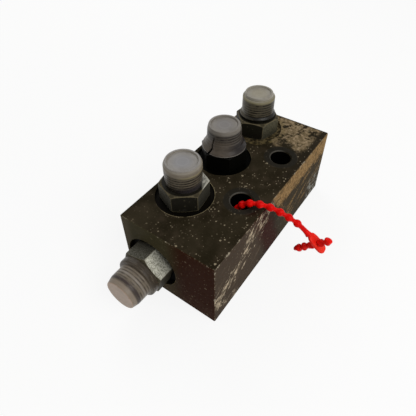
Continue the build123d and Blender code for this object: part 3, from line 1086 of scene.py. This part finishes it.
def beaded(centres, core):
    """Radius along a strand of round beads on a thin core, for tube_mesh."""

    def radius_at(length, _angle):
        nearest = min(abs(length - centre) for centre in centres)
        bead = math.sqrt(max(0.0, BEAD_RADIUS**2 - nearest**2))
        base = core(length)
        gap = bead - base
        return base + 0.5 * (gap + math.sqrt(gap * gap + BEAD_BLEND**2)) - BEAD_SINK

    return radius_at


strand_line = resampled(spline_points(STRAND_POINTS))
strand_length = arc_lengths(strand_line)[-1]
bead_places = []
bead_place = strand_length - LAST_BEAD
while bead_place > -BEAD_RADIUS:
    bead_places.append(bead_place)
    bead_place -= BEAD_PITCH


def strand_core(length):
    """Thin between beads, thicker along the neck and wider where it joins the head."""
    neck = min(1.0, max(0.0, (length - bead_places[0]) / NECK_RUN))
    spread = min(1.0, max(0.0, (length - strand_length + NECK_END_RUN) / NECK_END_RUN))
    radius = LINK_RADIUS + (NECK_RADIUS - LINK_RADIUS) * neck
    return radius + (NECK_END - NECK_RADIUS) * spread**2


def tie_piece(name, points, faces, material, node):
    """Piece of the tie, made in the block's own axes."""
    return mesh_piece(
        name, points, faces, Matrix.Identity(4), material, [node]
    )


# The head's plate, in millimetres from the eye.
PLATE_AHEAD = 5.25
PLATE_BEHIND = 6.3
PLATE_HALF_WIDTH = 2.85
PLATE_SQUARENESS = 3.2
PLATE_HALF_THICKNESS = 0.88
PLATE_DENTS = 0.12
EDGE_ROUNDNESS = 0.55
EYE_RADIUS = 1.15
PLATE_COLUMNS = 96
PLATE_SECTION = 20


def plate_edge(angle):
    """Rounded outline of the head's plate, from the eye, at an angle from along."""
    c, s = math.cos(angle), math.sin(angle)
    ahead = (PLATE_AHEAD if c > 0 else PLATE_BEHIND) * MM
    wide = PLATE_HALF_WIDTH * MM
    power = PLATE_SQUARENESS
    size = (abs(c / ahead) ** power + abs(s / wide) ** power) ** (-1 / power)
    return Vector((c * size, s * size))


def tie_head_piece():
    """Soft-edged flat plate with a round eye, run out from the strand's neck."""
    verts = []
    for i in range(PLATE_COLUMNS):
        angle = math.tau * i / PLATE_COLUMNS
        inner = Vector((math.cos(angle), math.sin(angle))) * EYE_RADIUS * MM
        outer = plate_edge(angle)
        middle = (inner + outer) / 2
        half = (outer - inner) / 2
        for j in range(PLATE_SECTION):
            turn = math.tau * j / PLATE_SECTION
            cu, su = math.cos(turn), math.sin(turn)
            wide = math.copysign(abs(cu) ** EDGE_ROUNDNESS, cu)
            high = math.copysign(abs(su) ** EDGE_ROUNDNESS, su)
            flat = middle + half * wide
            dent = PLATE_DENTS * MM * noise.noise(Vector((flat.x, flat.y, high)) * 500)
            lift = high * (PLATE_HALF_THICKNESS * MM + dent)
            verts.append(EYE + ALONG * flat.x + ACROSS * flat.y + THROUGH * lift)
    faces = []
    for i in range(PLATE_COLUMNS):
        here, there = i * PLATE_SECTION, (i + 1) % PLATE_COLUMNS * PLATE_SECTION
        for j in range(PLATE_SECTION):
            m = (j + 1) % PLATE_SECTION
            faces.append((here + j, there + j, there + m, here + m))
    return tie_piece("tie_eye_plate", verts, faces, lit_head_red, "tie_head")


# The tail, in millimetres: its beads above the eye, its ends past the first bead and below
# the eye, and its core's radii, with how far along they change.
TAIL_BEADS = [6.5, 2.2, -4.1, -8.4, -12.7]
TAIL_ABOVE = 1.8
TAIL_BELOW = 15.2
TAIL_THIN = 0.95
TAIL_THICK = 1.3
TAIL_THICKENS = 9


def tie_tail_piece():
    """Beaded tail through the eye, with its lower end pinched and torn."""
    above = TAIL_BEADS[0] + TAIL_ABOVE
    line = resampled([EYE - TAIL * above * MM, EYE + TAIL * TAIL_BELOW * MM])
    centres = [(above - height) * MM for height in TAIL_BEADS]

    def core(length):
        return TAIL_THIN * MM if length < TAIL_THICKENS * MM else TAIL_THICK * MM

    plain = beaded(centres, core)
    stub = centres[-1] + 1.0 * MM

    def torn(length, angle):
        ragged = 1.0 + 0.1 * math.sin(length * 2100 + 3 * math.cos(angle))
        pinched = min(1.0, max(0.0, length - stub) / (1.5 * MM))
        return plain(length, angle) * ragged * (1.0 - 0.25 * pinched * math.cos(angle) ** 2)

    verts, faces = tube_mesh(line, torn)
    return tie_piece("tie_tail_beads", verts, faces, brightened_tail_red, "tie_tail")


# The head's and the tail's copies of the red are painted light: lighter than the strand's, for
# the light on the head and to make up for the shade on the tail.
red = tie_plastic("tie_red", "c80100", "e30a02")
lit_head_red = tie_plastic("tie_lit_head_red", "e01c0e", "f24030")
brightened_tail_red = tie_plastic("tie_brightened_tail_red", "d00a06", "ee1a10")
points, faces = tube_mesh(strand_line, beaded(bead_places, strand_core))
strand = tie_piece("beaded_strand", points, faces, red, "tie_strand")
head = tie_head_piece()
tail = tie_tail_piece()

# --- stage
FLOOR_HALF = 2.5
FLOOR_DROP = 0.02 * MM
FLOOR_WHITE = 0.85
WORLD_LEVEL = 0.4
BACKGROUND_LEVEL = 1.0
LAMP_AIM = Vector((0, 0, 0.02))
# Place and size of each lamp in metres, and its power in watts.
LAMPS = {
    "key": ((-0.1, -0.55, 0.6), 0.5, 3.5),
    "back": ((0.35, 0.5, 0.55), 0.4, 1.5),
}
# The camera that was fitted to the photograph: metres, millimetres and degrees.
CAMERA_PLACE = (-0.13568, -0.08058, 0.18251)
CAMERA_SENSOR = 36.0
CAMERA_LENS = 34.09
CAMERA_SHIFT = (0.0013, -0.0569)
CAMERA_DOWN = 43.62
CAMERA_HEADING = 36.135
CAMERA_ROLL = -0.916


def shows_background(nodes):
    """1 on the rays that show the background: seen, mirrored or through glass."""
    rays = nodes.add("LightPath").outputs
    seen, mirrored = rays["Is Camera Ray"], rays["Is Glossy Ray"]
    return nodes.highest(seen, mirrored, rays["Is Transmission Ray"])


def paper_floor():
    """Pale floor, white on the rays that show the background, with its shadow kept."""
    material = bpy.data.materials.new("floor_paper")
    material.use_nodes = True
    nodes = Nodes(material.node_tree)
    paper = nodes.tree.nodes["Principled BSDF"]
    fill(paper, Base_Color=rgb("f4f4f2"), Roughness=0.9)
    white = nodes.add("Emission")
    fill(white, Strength=1.0)
    share = nodes.times(shows_background(nodes), FLOOR_WHITE)
    mix = nodes.add("MixShader", share, paper.outputs[0], white.outputs[0])
    nodes.put(nodes.tree.nodes["Material Output"].inputs[0], mix.outputs[0])
    return material


def make_floor():
    """Square floor, just under the block's mounting face."""
    size = FLOOR_HALF
    mesh = bpy.data.meshes.new("floor")
    corners = [(-size, -size, 0), (size, -size, 0), (size, size, 0), (-size, size, 0)]
    mesh.from_pydata(corners, [], [(0, 1, 2, 3)])
    mesh.materials.append(paper_floor())
    floor = new_object("floor", mesh)
    floor.location.z = -FLOOR_DROP


def make_world():
    """Plain white surroundings, which light the object at WORLD_LEVEL."""
    world = bpy.data.worlds.new("studio")
    bpy.context.scene.world = world
    world.use_nodes = True
    nodes = Nodes(world.node_tree)
    background = nodes.tree.nodes["Background"]
    fill(background, Color=(1, 1, 1, 1))
    level = nodes.add("MapRange", shows_background(nodes))
    fill(level, To_Min=WORLD_LEVEL, To_Max=BACKGROUND_LEVEL)
    nodes.put(background.inputs["Strength"], level.outputs[0])


def make_camera():
    data = bpy.data.cameras.new("camera")
    data.sensor_width = CAMERA_SENSOR
    data.lens = CAMERA_LENS
    data.shift_x, data.shift_y = CAMERA_SHIFT
    data.clip_start = 0.01
    camera = new_object("camera", data)
    tilt = math.radians(90 - CAMERA_DOWN)
    heading = math.radians(CAMERA_HEADING - 90)
    aim = Euler((tilt, 0, heading), "XYZ").to_matrix().to_4x4()
    roll = Matrix.Rotation(math.radians(CAMERA_ROLL), 4, "Z")
    camera.matrix_world = Matrix.Translation(CAMERA_PLACE) @ aim @ roll
    bpy.context.scene.camera = camera


def soft_lamp(name, place, size, power):
    """Square area lamp at place, turned to face the object."""
    lamp = bpy.data.lights.new(name, "AREA")
    lamp.energy = power
    lamp.size = size
    holder = new_object(name, lamp)
    holder.location = place
    holder.rotation_euler = (LAMP_AIM - Vector(place)).to_track_quat("-Z", "Y").to_euler()


make_floor()
make_world()
make_camera()
for name, lamp in LAMPS.items():
    soft_lamp(name, *lamp)
bpy.context.scene.view_settings.view_transform = "Standard"
